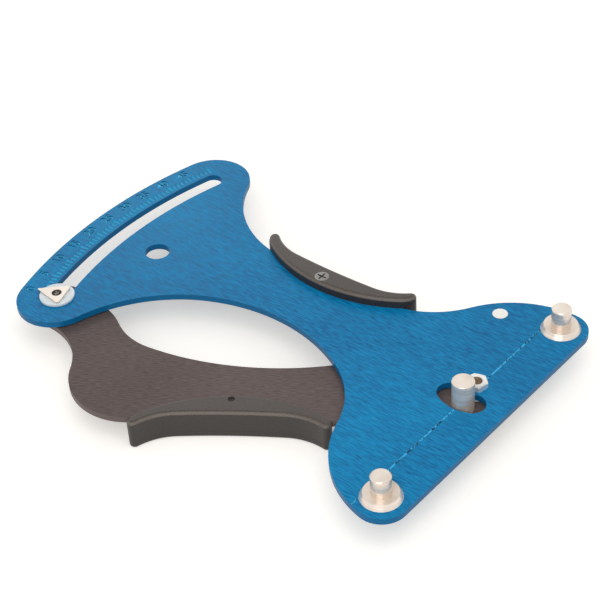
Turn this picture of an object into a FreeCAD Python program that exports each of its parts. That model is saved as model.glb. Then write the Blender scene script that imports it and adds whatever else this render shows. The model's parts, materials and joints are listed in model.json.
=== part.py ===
import FreeCAD, Part
import Sketcher
import math
import os

# Spoke tension meter. A fixed plate carries two collared posts, a curved scale slot and
# the body grip. A lever plate turns under it about the pivot bolt, carries the moving post
# and the pointer, and is pulled back by a coil spring. All drawing is done about the pivot
# axis, with X towards the straight edge, Y from the near post to the far post, Z up.
# Sizes are millimetres and degrees.

doc = FreeCAD.newDocument("SpokeTensionMeter")
sheet = doc.addObject("Spreadsheet::Sheet", "Sizes")

SIZES = {
    # plates and stack heights
    "plate_thickness": "3.2",
    "plate_spacing": "0.8",
    "plate_top_height": "18.8",
    "plate_edge_break": "0.25",
    "fit_gap": "0.05",
    "running_gap": "0.05",
    "slide_gap": "0.2",
    "cut_overrun": "1",
    # fixed plate outline
    "post_to_edge": "13.5",
    "post_lobe_radius": "12.7",
    "far_lobe_inset": "0.25",
    "near_lobe_outset": "0.75",
    "far_shoulder_radius": "52.25",
    "far_bay_left_share": "0.34392265",
    "far_bay_up_share": "0.31767956",
    "far_bay_radius_share": "0.2140884",
    "neck_bay_left_share": "0.60957643",
    "neck_bay_radius_share": "0.3038674",
    "end_lobe_radius": "20.3",
    "window_end_radius_share": "0.35036832",
    "window_left_share": "0.48572744",
    "window_down_share": "0.49585635",
    "window_radius_share": "0.42219153",
    "front_bay_radius_share": "0.2407919",
    "near_shoulder_angle": "80.22165365",
    "near_shoulder_radius": "54",
    # scale slot, marks and sight line
    "slot_radius": "217.2",
    "slot_width": "10.4",
    "slot_far_angle": "13.8",
    "slot_near_angle": "18.8",
    "tick_start_angle": "18.3",
    "tick_sweep_angle": "33",
    "tick_count": "51",
    "long_tick_count": "11",
    "tick_clearance": "1.8",
    "tick_length": "3.4",
    "long_tick_length": "4.8",
    "mark_width": "0.3",
    "mark_depth": "0.15",
    "sight_line_right": "1.4",
    "sight_line_width": "0.5",
    "sight_line_short": "5.15",
    # opening round the moving post
    "opening_radius": "13",
    "opening_width": "12.6",
    "opening_left_angle": "123",
    "opening_right_angle": "62.8",
    # hanging hole
    "hang_left_share": "0.87845304",
    "hang_down_share": "0.05847145",
    "hang_radius": "6.35",
    # fixed posts
    "post_right": "8.5",
    "near_post_down": "82.55",
    "post_span": "139.7",
    "post_radius": "4.7625",
    "post_height": "12.3",
    "post_chamfer": "0.5",
    "collar_bottom_radius": "9.7",
    "collar_top_radius": "8.2",
    "collar_height": "2.7",
    # screws that hold the posts
    "post_screw_radius": "2.5",
    "post_screw_reach": "7",
    "post_screw_head_radius": "4.2",
    "post_screw_head_height": "1.6",
    "hex_socket_width": "2.5",
    "hex_socket_depth": "1",
    # moving post
    "moving_post_right": "1.4",
    "moving_post_down": "12.65",
    "moving_post_radius": "5.35",
    "moving_post_top": "12.4",
    "moving_post_chamfer": "0.3",
    # pivot
    "pivot_bolt_radius": "2",
    "pivot_head_width": "8",
    "pivot_head_height": "2.8",
    "pivot_nut_width": "9.525",
    "pivot_nut_height": "2.8",
    "nut_bevel_share": "0.32142857",
    "nut_turn_angle": "18",
    "bolt_end_below_nut": "0.5",
    "bush_radius": "4",
    "pivot_washer_radius": "7",
    "pivot_lower_washer_thickness": "0.8",
    # spring and its pins
    "anchor_left": "20.7",
    "anchor_up": "49.1",
    "anchor_head_radius": "3.75",
    "anchor_head_height": "1.5",
    "anchor_head_proud": "0.3",
    "spring_post_right": "9.2",
    "spring_post_up": "10.9",
    "spring_pin_radius": "2.2",
    "spring_pin_tail": "2.2",
    "spring_pin_flange_radius": "3.2",
    "spring_pin_flange_height": "1",
    "spring_drop": "12",
    "spring_coil_radius": "3",
    "spring_wire_radius": "0.5",
    "spring_turns": "14",
    "spring_coil_length": "29.75",
    "spring_wire_bite": "1",
    "spring_lead": "2.6",
    # lever plate outline
    "pivot_lobe_radius": "19.4",
    "pivot_shoulder_radius": "60",
    "lever_window_left_share": "0.77762431",
    "lever_window_up_share": "0.33977901",
    "lever_window_radius_share": "0.66022099",
    "lever_window_end_radius_share": "0.16574586",
    "lever_shoulder_left_share": "0.87246777",
    "lever_shoulder_down_share": "0.45027624",
    "lever_shoulder_radius_share": "0.18416206",
    "lever_end_radius": "14.5",
    "lever_bay_radius_share": "0.17357274",
    "lever_lobe_left_share": "0.63213628",
    "lever_lobe_down_share": "0.38766114",
    "lever_lobe_radius_share": "0.14760589",
    "lever_grip_bay_radius_share": "0.5985267",
    "lever_front_left_share": "0.25690608",
    "lever_front_down_share": "0.16390424",
    "lever_front_radius": "25",
    # pointer group
    "pointer_angle": "18.7",
    "pointer_spacer_radius": "4.9",
    "pointer_screw_radius": "1.5",
    "pointer_screw_head_radius": "2.5",
    "slide_washer_radius": "8.77",
    "slide_washer_thickness": "1.1",
    "pointer_thickness": "1.1",
    "pointer_reach": "10.6",
    "pointer_back": "4.4",
    "pointer_half_width": "6.9",
    "pointer_tip_round": "0.5",
    "pointer_corner_round": "1",
    # grips, each drawn along its own chord
    "body_grip_chord": "90.6",
    "lever_grip_chord": "94.1",
    "grip_inner_rise_share": "0.1826087",
    "grip_inner_radius_share": "0.85217391",
    "grip_corner_radius_share": "0.13043478",
    "grip_outer_rise_share": "0.04565217",
    "grip_outer_radius_share": "4.34782609",
    "grip_flare_radius_share": "0.32608696",
    "grip_end_radius": "2.6",
    "grip_end_inset": "2.4",
    "grip_end_drop": "1.5",
    "grip_top_round": "2",
    "grip_bottom_round": "1.2",
    "body_grip_rise": "5.2",
    "body_screw_left_share": "0.48228737",
    "body_screw_up_share": "0.07431330",
    "body_grip_angle": "1.25",
    "lever_grip_lip": "0.4",
    "lever_screw_left_share": "0.40251681",
    "lever_screw_down_share": "0.33085762",
    "lever_grip_angle": "35.55",
    # grip screws
    "body_screw_along_share": "0.47902870",
    "body_screw_in_share": "0.13024283",
    "body_screw_radius": "2",
    "body_screw_head_radius": "3.6",
    "body_nut_width": "7",
    "body_nut_height": "3.2",
    "body_nut_recess": "2",
    "cross_width": "0.9",
    "cross_share": "0.7",
    "cross_depth": "1.1",
    "lever_screw_along_share": "0.49628055",
    "lever_screw_in_share": "0.14558980",
    "lever_screw_radius": "1.5",
    "lever_screw_head_radius": "2.9",
    "lever_screw_head_height": "1.9",
    "lever_screw_recess": "3",
    "lever_screw_window_radius": "1.7",
}

row = 0
for alias, text in SIZES.items():
    row += 1
    sheet.set("A%d" % row, alias)
    sheet.set("B%d" % row, text)
    sheet.setAlias("B%d" % row, alias)
doc.recompute()


class Size:
    """A number together with the formula on the sheet that gives it."""

    def __init__(self, number, text):
        self.number = number
        self.text = text

    def __add__(self, other):
        other = as_size(other)
        return Size(self.number + other.number, "(%s + %s)" % (self.text, other.text))

    def __sub__(self, other):
        other = as_size(other)
        return Size(self.number - other.number, "(%s - %s)" % (self.text, other.text))

    def __mul__(self, other):
        other = as_size(other)
        return Size(self.number * other.number, "(%s * %s)" % (self.text, other.text))

    def __truediv__(self, other):
        other = as_size(other)
        return Size(self.number / other.number, "(%s / %s)" % (self.text, other.text))

    def __neg__(self):
        return Size(-self.number, "(0 - %s)" % self.text)


def as_size(value):
    if isinstance(value, Size):
        return value
    return Size(float(value), repr(value))


def size(alias):
    return Size(float(sheet.get(alias)), "Sizes.%s" % alias)


def cosine(angle):
    return Size(math.cos(math.radians(angle.number)), "cos(%s)" % angle.text)


def sine(angle):
    return Size(math.sin(math.radians(angle.number)), "sin(%s)" % angle.text)


def root(square):
    return Size(math.sqrt(square.number), "sqrt(%s)" % square.text)


def heading(step_x, step_y):
    degrees = math.degrees(math.atan2(step_y.number, step_x.number))
    return Size(degrees, "atan2(%s; %s)" % (step_y.text, step_x.text))


def of_reach(share):
    """An outline's length that follows the scale's radius."""
    return size("slot_radius") * size(share)


def of_chord(grip, share):
    """A grip's length that follows its chord."""
    return size(grip + "_grip_chord") * size(share)


ZERO = as_size(0)


def bind(thing, prop, value):
    thing.setExpression(prop, as_size(value).text)


# Places that several pieces share

PLATE = size("plate_thickness")
TOP = size("plate_top_height")
LEVER_TOP = TOP - PLATE - size("plate_spacing")
LEVER_BOTTOM = LEVER_TOP - PLATE
FAR_END = (
    -size("slot_radius") * cosine(size("slot_far_angle")),
    size("slot_radius") * sine(size("slot_far_angle")),
)
NEAR_END = (
    -size("slot_radius") * cosine(size("slot_near_angle")),
    -size("slot_radius") * sine(size("slot_near_angle")),
)
POINTER = (
    -size("slot_radius") * cosine(size("pointer_angle")),
    -size("slot_radius") * sine(size("pointer_angle")),
)
NEAR_POST = (size("post_right"), -size("near_post_down"))
FAR_POST = (size("post_right"), size("post_span") - size("near_post_down"))
MOVING_POST = (size("moving_post_right"), -size("moving_post_down"))
ANCHOR = (-size("anchor_left"), size("anchor_up"))
SPRING_POST = (size("spring_post_right"), size("spring_post_up"))
RIM = size("slot_radius") + size("end_lobe_radius")
EDGE = size("post_right") + size("post_to_edge")
FAR_LOBE = FAR_POST[1] - size("far_lobe_inset")
NEAR_LOBE = NEAR_POST[1] - size("near_lobe_outset")


BODY_SCREW = (-of_reach("body_screw_left_share"), of_reach("body_screw_up_share"))
LEVER_SCREW = (-of_reach("lever_screw_left_share"), -of_reach("lever_screw_down_share"))


def grip_start(screw, angle, along, inward, hand):
    """Plan place of the end of a grip's chord, found back from the screw that holds it."""
    step_x = along * cosine(angle) - hand * inward * sine(angle)
    step_y = along * sine(angle) + hand * inward * cosine(angle)
    return (screw[0] - step_x, screw[1] - step_y)


# The pivot's place in the part's frame: the middle of the whole part is at X 0 and Y 0

LOWEST = of_reach("lever_lobe_down_share") + of_reach("lever_lobe_radius_share")
HIGHEST = FAR_END[1] + size("end_lobe_radius")
SHIFT_X = (RIM - EDGE) / 2
SHIFT_Y = (LOWEST - HIGHEST) / 2

parts = {}


def put(thing, label, place, height, turn=None):
    """Sets a sub-part at its plan place about the pivot and its height above the rest plane."""
    if turn is not None:
        upright = FreeCAD.Vector(0, 0, 1)
        spin = FreeCAD.Rotation(upright, turn.number)
        thing.Placement = FreeCAD.Placement(FreeCAD.Vector(0, 0, 0), spin)
        bind(thing, "Placement.Rotation.Angle", turn)
    bind(thing, "Placement.Base.x", SHIFT_X + place[0])
    bind(thing, "Placement.Base.y", SHIFT_Y + place[1])
    bind(thing, "Placement.Base.z", height)
    if label:
        thing.Label = label
        parts[label] = thing


def new_body(name):
    return doc.addObject("PartDesign::Body", name)


def sketch_on(body, name, role):
    sketch = body.newObject("Sketcher::SketchObject", name)
    for plane in body.Origin.OriginFeatures:
        if plane.Role == role:
            sketch.AttachmentSupport = [(plane, "")]
    sketch.MapMode = "FlatFace"
    return sketch


def lift(sketch, height):
    """Moves a sketch along its plane's own normal."""
    bind(sketch, "AttachmentOffset.Base.z", height)


def dimension(sketch, kind, first, first_end, second, second_end, value):
    """A distance that is always written as a positive number."""
    if abs(value.number) < 1e-9:
        if second == -1:
            sketch.addConstraint(Sketcher.Constraint(
                "PointOnObject", first, first_end, -2 if kind == "DistanceX" else -1))
        else:
            sketch.addConstraint(Sketcher.Constraint(
                "PointOnObject", second, second_end, -2 if kind == "DistanceX" else -1))
        return
    if value.number < 0:
        first, first_end, second, second_end = second, second_end, first, first_end
        value = -value
    index = sketch.addConstraint(Sketcher.Constraint(
        kind, first, first_end, second, second_end, value.number))
    bind(sketch, "Constraints[%d]" % index, value)


def radius_of(sketch, geometry, value):
    index = sketch.addConstraint(Sketcher.Constraint("Radius", geometry, value.number))
    bind(sketch, "Constraints[%d]" % index, value)


def circle(sketch, place, radius):
    x, y = place
    centre = FreeCAD.Vector(x.number, y.number, 0)
    shape = Part.Circle(centre, FreeCAD.Vector(0, 0, 1), radius.number)
    index = sketch.addGeometry(shape, False)
    dimension(sketch, "DistanceX", -1, 1, index, 3, x)
    dimension(sketch, "DistanceY", -1, 1, index, 3, y)
    radius_of(sketch, index, radius)
    return index


def polygon(sketch, points):
    """Straight-sided closed outline whose corners are all given."""
    first = sketch.GeometryCount
    count = len(points)
    for index in range(count):
        here = points[index]
        there = points[(index + 1) % count]
        sketch.addGeometry(Part.LineSegment(
            FreeCAD.Vector(here[0].number, here[1].number, 0),
            FreeCAD.Vector(there[0].number, there[1].number, 0)), False)
    for index in range(count):
        after = (index + 1) % count
        sketch.addConstraint(Sketcher.Constraint(
            "Coincident", first + index, 2, first + after, 1))
    for index in range(count):
        dimension(sketch, "DistanceX", -1, 1, first + index, 1, points[index][0])
        dimension(sketch, "DistanceY", -1, 1, first + index, 1, points[index][1])


def hexagon(sketch, across, turn=ZERO):
    corners = []
    for step in range(6):
        angle = turn + as_size(60) * step
        reach = across / (cosine(as_size(30)) * 2)
        corners.append((reach * cosine(angle), reach * sine(angle)))
    polygon(sketch, corners)


class Bend:
    """One arc of an outline. The radius is positive where the outline bulges outward."""

    def __init__(self, centre, radius, bulge, fixed):
        self.centre = centre
        self.radius = radius
        self.bulge = bulge
        self.fixed = fixed
        self.middle = None

    @property
    def signed(self):
        return self.radius.number if self.bulge else -self.radius.number


STRAIGHT = "straight"


def settle(before, bend, after):
    """Middle of a blending arc that touches the arcs on both sides."""
    one = before.middle
    two = after.middle
    reach_one = abs(bend.signed - before.signed)
    reach_two = abs(bend.signed - after.signed)
    line = two - one
    span = line.Length
    along = (reach_one ** 2 - reach_two ** 2 + span ** 2) / (2 * span)
    across = math.sqrt(max(reach_one ** 2 - along ** 2, 0))
    line.normalize()
    side = FreeCAD.Vector(line.y, -line.x, 0)
    hand = 1 if bend.fixed == "right" else -1
    return one + line * along + side * (across * hand)


def joint_point(one, two):
    normal = (two.middle - one.middle) * (1 / (one.signed - two.signed))
    normal.normalize()
    return one.middle + normal * one.signed


def line_points(one, two):
    """Ends of the straight run that leaves one arc and enters the next."""
    step = two.middle - one.middle
    turn = math.acos((one.signed - two.signed) / step.Length)
    angle = math.atan2(step.y, step.x) - turn
    normal = FreeCAD.Vector(math.cos(angle), math.sin(angle), 0)
    return one.middle + normal * one.signed, two.middle + normal * two.signed


def outline(sketch, chain):
    """Closed chain of tangent arcs and straight runs, drawn anticlockwise."""
    bends = [piece for piece in chain if piece is not STRAIGHT]
    for bend in bends:
        if bend.centre is not None:
            x, y = bend.centre
            bend.middle = FreeCAD.Vector(x.number, y.number, 0)
    for index, bend in enumerate(bends):
        if bend.middle is None:
            after = bends[(index + 1) % len(bends)]
            bend.middle = settle(bends[index - 1], bend, after)
    entries = {}
    exits = {}
    for index, piece in enumerate(chain):
        if piece is STRAIGHT:
            before = chain[index - 1]
            after = chain[(index + 1) % len(chain)]
            start, end = line_points(before, after)
            exits[id(before)] = start
            entries[id(after)] = end
            entries[index] = (start, end)
        elif chain[(index + 1) % len(chain)] is not STRAIGHT:
            after = chain[(index + 1) % len(chain)]
            point = joint_point(piece, after)
            exits[id(piece)] = point
            entries[id(after)] = point
    first = sketch.GeometryCount
    ends = []
    for index, piece in enumerate(chain):
        if piece is STRAIGHT:
            start, end = entries[index]
            sketch.addGeometry(Part.LineSegment(start, end), False)
            ends.append((1, 2))
            continue
        ring = Part.Circle(piece.middle, FreeCAD.Vector(0, 0, 1), piece.radius.number)
        into = entries[id(piece)] - piece.middle
        out = exits[id(piece)] - piece.middle
        angle_in = math.atan2(into.y, into.x)
        angle_out = math.atan2(out.y, out.x)
        if piece.bulge:
            while angle_out < angle_in:
                angle_out += math.tau
            sketch.addGeometry(Part.ArcOfCircle(ring, angle_in, angle_out), False)
            ends.append((1, 2))
        else:
            while angle_in < angle_out:
                angle_in += math.tau
            sketch.addGeometry(Part.ArcOfCircle(ring, angle_out, angle_in), False)
            ends.append((2, 1))
    count = len(chain)
    for index in range(count):
        after = (index + 1) % count
        sketch.addConstraint(Sketcher.Constraint(
            "Tangent", first + index, ends[index][1], first + after, ends[after][0]))
    for index, piece in enumerate(chain):
        if piece is STRAIGHT:
            continue
        if piece.centre is not None:
            x, y = piece.centre
            if "x" in piece.fixed:
                dimension(sketch, "DistanceX", -1, 1, first + index, 3, x)
            if "y" in piece.fixed:
                dimension(sketch, "DistanceY", -1, 1, first + index, 3, y)
        if piece.centre is None or "r" in piece.fixed:
            radius_of(sketch, first + index, piece.radius)


def ring_slot(sketch, radius, width, start, finish):
    """Slot along a circle about the pivot, from one angle round to the next."""
    half = width / 2
    start_end = (radius * cosine(start), radius * sine(start))
    finish_end = (radius * cosine(finish), radius * sine(finish))
    outline(sketch, [
        Bend((ZERO, ZERO), radius + half, True, "xy"),
        Bend(finish_end, half, True, "xyr"),
        Bend((ZERO, ZERO), radius - half, False, "xy"),
        Bend(start_end, half, True, "y" if abs(finish_end[0].number) else "x"),
    ])


def pad(body, sketch, length, name):
    feature = body.newObject("PartDesign::Pad", name)
    feature.Profile = sketch
    feature.Type = "Length"
    feature.Length = length.number
    bind(feature, "Length", length)
    sketch.Visibility = False
    return feature


def pocket(body, sketch, length, name, upward):
    """Cuts from the sketch's plane, upward or downward, by the given depth."""
    feature = body.newObject("PartDesign::Pocket", name)
    feature.Profile = sketch
    feature.Type = "Length"
    feature.Length = length.number
    bind(feature, "Length", length)
    feature.Reversed = bool(upward)
    return feature


def pocket_all(body, sketch, name, depth):
    """Cuts right through a plate that stands on the sketch's plane."""
    return pocket(body, sketch, depth + size("cut_overrun"), name, True)


def turned(label, profile, place, height, turn=None):
    """A turned piece: the profile's points are (radius, height), closed on the axis."""
    body = new_body("Body_" + label)
    sketch = sketch_on(body, "Profile_" + label, "XZ_Plane")
    polygon(sketch, profile)
    feature = body.newObject("PartDesign::Revolution", "Turn_" + label)
    feature.Profile = sketch
    feature.ReferenceAxis = (sketch, ["V_Axis"])
    feature.Angle = 360
    put(body, label, place, height, turn)
    return body


# Fixed plate

plate = new_body("FixedPlate")
sketch = sketch_on(plate, "FixedPlateOutline", "XY_Plane")
post_lobe_x = EDGE - size("post_lobe_radius")
lobe_gap = of_reach("neck_bay_radius_share") + size("end_lobe_radius")
neck_step = of_reach("neck_bay_left_share") + FAR_END[0]
neck_up = FAR_END[1] + root(lobe_gap * lobe_gap - neck_step * neck_step)
shoulder_gap = size("near_shoulder_radius") - size("post_lobe_radius")
shoulder_y = NEAR_LOBE + shoulder_gap * sine(size("near_shoulder_angle"))
shoulder_x = post_lobe_x + shoulder_gap * cosine(size("near_shoulder_angle"))
outline(sketch, [
    STRAIGHT,
    Bend((post_lobe_x, FAR_LOBE), size("post_lobe_radius"), True, "xyr"),
    Bend(None, size("far_shoulder_radius"), True, "left"),
    Bend((-of_reach("far_bay_left_share"), of_reach("far_bay_up_share")), of_reach("far_bay_radius_share"), False, "xyr"),
    STRAIGHT,
    Bend((-of_reach("neck_bay_left_share"), neck_up), of_reach("neck_bay_radius_share"), False, "xr"),
    Bend(FAR_END, size("end_lobe_radius"), True, "xyr"),
    Bend((ZERO, ZERO), RIM, True, "xy"),
    Bend(NEAR_END, size("end_lobe_radius"), True, "xy"),
    Bend(None, of_reach("window_end_radius_share"), False, "left"),
    Bend((-of_reach("window_left_share"), -of_reach("window_down_share")), of_reach("window_radius_share"), False, "xyr"),
    Bend(None, of_reach("front_bay_radius_share"), False, "left"),
    Bend((shoulder_x, shoulder_y), size("near_shoulder_radius"), True, "yr"),
    Bend((post_lobe_x, NEAR_LOBE), size("post_lobe_radius"), True, "xyr"),
])
pad(plate, sketch, PLATE, "FixedPlateBlank")
doc.recompute()

# Scale slot, opening round the moving post and all round holes right through the plate

sketch = sketch_on(plate, "FixedPlateSlots", "XY_Plane")
ring_slot(
    sketch,
    size("slot_radius"),
    size("slot_width"),
    as_size(180) - size("slot_far_angle"),
    as_size(180) + size("slot_near_angle"),
)
pocket_all(plate, sketch, "ScaleSlot", PLATE)

sketch = sketch_on(plate, "FixedPlateOpening", "XY_Plane")
ring_slot(
    sketch,
    size("opening_radius"),
    size("opening_width"),
    -size("opening_left_angle"),
    -size("opening_right_angle"),
)
pocket_all(plate, sketch, "PostOpening", PLATE)

sketch = sketch_on(plate, "FixedPlateHoles", "XY_Plane")
circle(sketch, (-of_reach("hang_left_share"), -of_reach("hang_down_share")), size("hang_radius"))
circle(sketch, (ZERO, ZERO), size("pivot_bolt_radius") + size("fit_gap"))
circle(sketch, NEAR_POST, size("post_screw_radius") + size("fit_gap"))
circle(sketch, FAR_POST, size("post_screw_radius") + size("fit_gap"))
circle(sketch, ANCHOR, size("spring_pin_radius") + size("fit_gap"))
circle(sketch, BODY_SCREW, size("body_screw_radius") + size("fit_gap"))
pocket_all(plate, sketch, "PlateHoles", PLATE)

# Seats of the post screws' heads, sunk into the underside

sketch = sketch_on(plate, "FixedPlateScrewSeats", "XY_Plane")
circle(sketch, NEAR_POST, size("post_screw_head_radius") + size("fit_gap"))
circle(sketch, FAR_POST, size("post_screw_head_radius") + size("fit_gap"))
pocket(plate, sketch, size("post_screw_head_height"), "ScrewSeats", True)

# Seat of the spring anchor's head in the top face

sketch = sketch_on(plate, "FixedPlateAnchorSeat", "XY_Plane")
lift(sketch, PLATE)
circle(sketch, ANCHOR, size("anchor_head_radius") + size("fit_gap"))
seat_depth = size("anchor_head_height") - size("anchor_head_proud")
pocket(plate, sketch, seat_depth, "AnchorSeat", False)

# Sight line between the collars, marks of the scale, both engraved in the top face

sketch = sketch_on(plate, "FixedPlateSightLine", "XY_Plane")
lift(sketch, PLATE)
line_left = size("sight_line_right") - size("sight_line_width") / 2
line_right = size("sight_line_right") + size("sight_line_width") / 2
line_low = NEAR_LOBE - size("post_lobe_radius")
line_high = FAR_POST[1] - size("sight_line_short")
polygon(sketch, [
    (line_left, line_low),
    (line_right, line_low),
    (line_right, line_high),
    (line_left, line_high),
])
pocket(plate, sketch, size("mark_depth"), "SightLine", False)


tick_inner_radius = size("slot_radius") + size("slot_width") / 2 + size("tick_clearance")


def scale_marks(name, length, count):
    """One radial mark at the scale's zero, repeated round the pivot up to its last mark."""
    sketch = sketch_on(plate, name + "Sketch", "XY_Plane")
    lift(sketch, PLATE)
    angle = as_size(180) + size("tick_start_angle")
    half = size("mark_width") / 2
    corners = []
    for reach, side in ((0, -1), (1, -1), (1, 1), (0, 1)):
        radius = tick_inner_radius + length * reach
        corners.append((
            radius * cosine(angle) - half * side * sine(angle),
            radius * sine(angle) + half * side * cosine(angle),
        ))
    polygon(sketch, corners)
    cut = pocket(plate, sketch, size("mark_depth"), name, False)
    marks = plate.newObject("PartDesign::PolarPattern", name + "Round")
    marks.Originals = [cut]
    marks.Axis = (sketch, ["N_Axis"])
    marks.Angle = size("tick_sweep_angle").number
    bind(marks, "Angle", size("tick_sweep_angle"))
    marks.Reversed = True
    marks.Occurrences = int(size(count).number)
    bind(marks, "Occurrences", size(count))
    plate.Tip = marks


scale_marks("Marks", size("tick_length"), "tick_count")
scale_marks("LongMarks", size("long_tick_length"), "long_tick_count")
put(plate, "body_plate", (ZERO, ZERO), TOP - PLATE)
doc.recompute()

# Fixed posts, each a turned pin on a tapered collar, tapped from below


def post_profile(radius, height, chamfer, collar):
    hole = size("post_screw_radius") + size("fit_gap")
    depth = size("post_screw_reach") + size("cut_overrun")
    points = [(hole, ZERO)]
    if collar:
        points.append((size("collar_bottom_radius"), ZERO))
        points.append((size("collar_top_radius"), size("collar_height")))
        points.append((radius, size("collar_height")))
    else:
        points.append((radius, ZERO))
    points.append((radius, height - chamfer))
    points.append((radius - chamfer, height))
    points.append((ZERO, height))
    points.append((ZERO, depth))
    points.append((hole, depth))
    return points


fixed_profile = post_profile(
    size("post_radius"), size("post_height"), size("post_chamfer"), True)
turned("fixed_post_near", fixed_profile, NEAR_POST, TOP)
turned("fixed_post_far", fixed_profile, FAR_POST, TOP)

moving_profile = post_profile(
    size("moving_post_radius"),
    TOP - LEVER_TOP + size("moving_post_top"),
    size("moving_post_chamfer"),
    False,
)
turned("moving_post", moving_profile, MOVING_POST, LEVER_TOP)


def hex_socket(body, name, width, depth, height=None):
    sketch = sketch_on(body, name + "Sketch", "XY_Plane")
    if height is not None:
        lift(sketch, height)
    hexagon(sketch, width)
    return pocket(body, sketch, depth, name, height is None)


def post_screw(label, place, height):
    """Flush screw driven up into a post, its head in the plate's underside."""
    head = size("post_screw_head_height")
    shank = size("post_screw_radius")
    tip = PLATE + size("post_screw_reach")
    body = turned(label, [
        (ZERO, ZERO),
        (size("post_screw_head_radius"), ZERO),
        (size("post_screw_head_radius"), head),
        (shank, head),
        (shank, tip),
        (ZERO, tip),
    ], place, height)
    hex_socket(body, "Socket_" + label, size("hex_socket_width"), size("hex_socket_depth"))


post_screw("near_post_screw", NEAR_POST, TOP - PLATE)
post_screw("far_post_screw", FAR_POST, TOP - PLATE)
post_screw("moving_post_screw", MOVING_POST, LEVER_BOTTOM)

# Pivot: hexagon bolt from below, bush, a washer on each side of the lever, nut on top


def ring(label, outer, inner, thickness, place, height):
    turned(label, [
        (inner, ZERO),
        (outer, ZERO),
        (outer, thickness),
        (inner, thickness),
    ], place, height)


bolt_hole = size("pivot_bolt_radius") + size("fit_gap")
CENTRE = (ZERO, ZERO)
upper_washer = size("plate_spacing") - size("slide_gap")
lower_washer = size("pivot_lower_washer_thickness")
BUSH_BOTTOM = LEVER_BOTTOM - size("slide_gap")
BUSH_TOP = TOP - PLATE - upper_washer
HEAD_TOP = BUSH_BOTTOM - lower_washer
washer_radius = size("pivot_washer_radius")
ring("pivot_washer_upper", washer_radius, bolt_hole, upper_washer, CENTRE, BUSH_TOP)
ring("pivot_washer_lower", washer_radius, bolt_hole, lower_washer, CENTRE, HEAD_TOP)
ring("pivot_bush", size("bush_radius"), bolt_hole, BUSH_TOP - BUSH_BOTTOM, CENTRE, BUSH_BOTTOM)


def chamfer_groove(body, name, across, height, upper):
    """Turned bevel that takes the corners off one end of a hexagon."""
    half = across / 2
    corner = half / cosine(as_size(30)) + size("cut_overrun")
    rise = (corner - half) * size("nut_bevel_share")
    sketch = sketch_on(body, name + "Sketch", "XZ_Plane")
    if upper:
        polygon(sketch, [(half, height), (corner, height - rise), (corner, height)])
    else:
        polygon(sketch, [(half, ZERO), (corner, ZERO), (corner, rise)])
    feature = body.newObject("PartDesign::Groove", name)
    feature.Profile = sketch
    feature.ReferenceAxis = (sketch, ["V_Axis"])
    feature.Angle = 360


def hex_nut(label, across, height, bore, place, level, turn):
    body = new_body("Body_" + label)
    sketch = sketch_on(body, "Flats_" + label, "XY_Plane")
    hexagon(sketch, across)
    circle(sketch, CENTRE, bore)
    pad(body, sketch, height, "Blank_" + label)
    chamfer_groove(body, "TopBevel_" + label, across, height, True)
    put(body, label, place, level, turn)
    return body


hex_nut(
    "pivot_nut",
    size("pivot_nut_width"),
    size("pivot_nut_height"),
    bolt_hole,
    CENTRE,
    TOP,
    size("nut_turn_angle"),
)

bolt = new_body("PivotBolt")
sketch = sketch_on(bolt, "PivotBoltHead", "XY_Plane")
hexagon(sketch, size("pivot_head_width"))
head_height = size("pivot_head_height")
pad(bolt, sketch, head_height, "PivotBoltHeadPad")
sketch = sketch_on(bolt, "PivotBoltShank", "XY_Plane")
circle(sketch, CENTRE, size("pivot_bolt_radius"))
bolt_top = TOP + size("pivot_nut_height") - size("bolt_end_below_nut")
pad(bolt, sketch, bolt_top - HEAD_TOP + head_height, "PivotBoltShankPad")
chamfer_groove(
    bolt, "PivotHeadBevel", size("pivot_head_width"), head_height, False)
put(bolt, "pivot_bolt", CENTRE, HEAD_TOP - head_height, ZERO)

# Spring pins: one hangs from the fixed plate, the other from the lever plate

SPRING_LEVEL = TOP - size("spring_drop")
SPRING_HEADING = heading(ANCHOR[0] - SPRING_POST[0], ANCHOR[1] - SPRING_POST[1])
RETURN_HEADING = heading(SPRING_POST[0] - ANCHOR[0], SPRING_POST[1] - ANCHOR[1])
pin_radius = size("spring_pin_radius")


def spring_pin(label, place, turn, upper):
    """Pin about the spring's level, with a foot flange and a cross hole for the wire."""
    tail = size("spring_pin_tail")
    foot = tail + size("spring_pin_flange_height")
    foot_radius = size("spring_pin_flange_radius")
    points = [(ZERO, -foot), (foot_radius, -foot), (foot_radius, -tail), (pin_radius, -tail)]
    body = turned(label, points + upper, place, SPRING_LEVEL, turn)
    sketch = sketch_on(body, "WireHole_" + label, "YZ_Plane")
    circle(sketch, CENTRE, size("spring_wire_radius") + size("fit_gap") * 2)
    feature = pocket(body, sketch, pin_radius + size("cut_overrun"), "Wire_" + label, True)
    return feature


under_head = size("spring_drop") - size("anchor_head_height") + size("anchor_head_proud")
over_head = size("spring_drop") + size("anchor_head_proud")
spring_pin("spring_anchor", ANCHOR, RETURN_HEADING, [
    (pin_radius, under_head),
    (size("anchor_head_radius"), under_head),
    (size("anchor_head_radius"), over_head),
    (ZERO, over_head),
])
lever_side = LEVER_TOP - SPRING_LEVEL
spring_pin("spring_post", SPRING_POST, SPRING_HEADING, [
    (pin_radius, lever_side),
    (ZERO, lever_side),
])

# Lever plate

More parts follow.
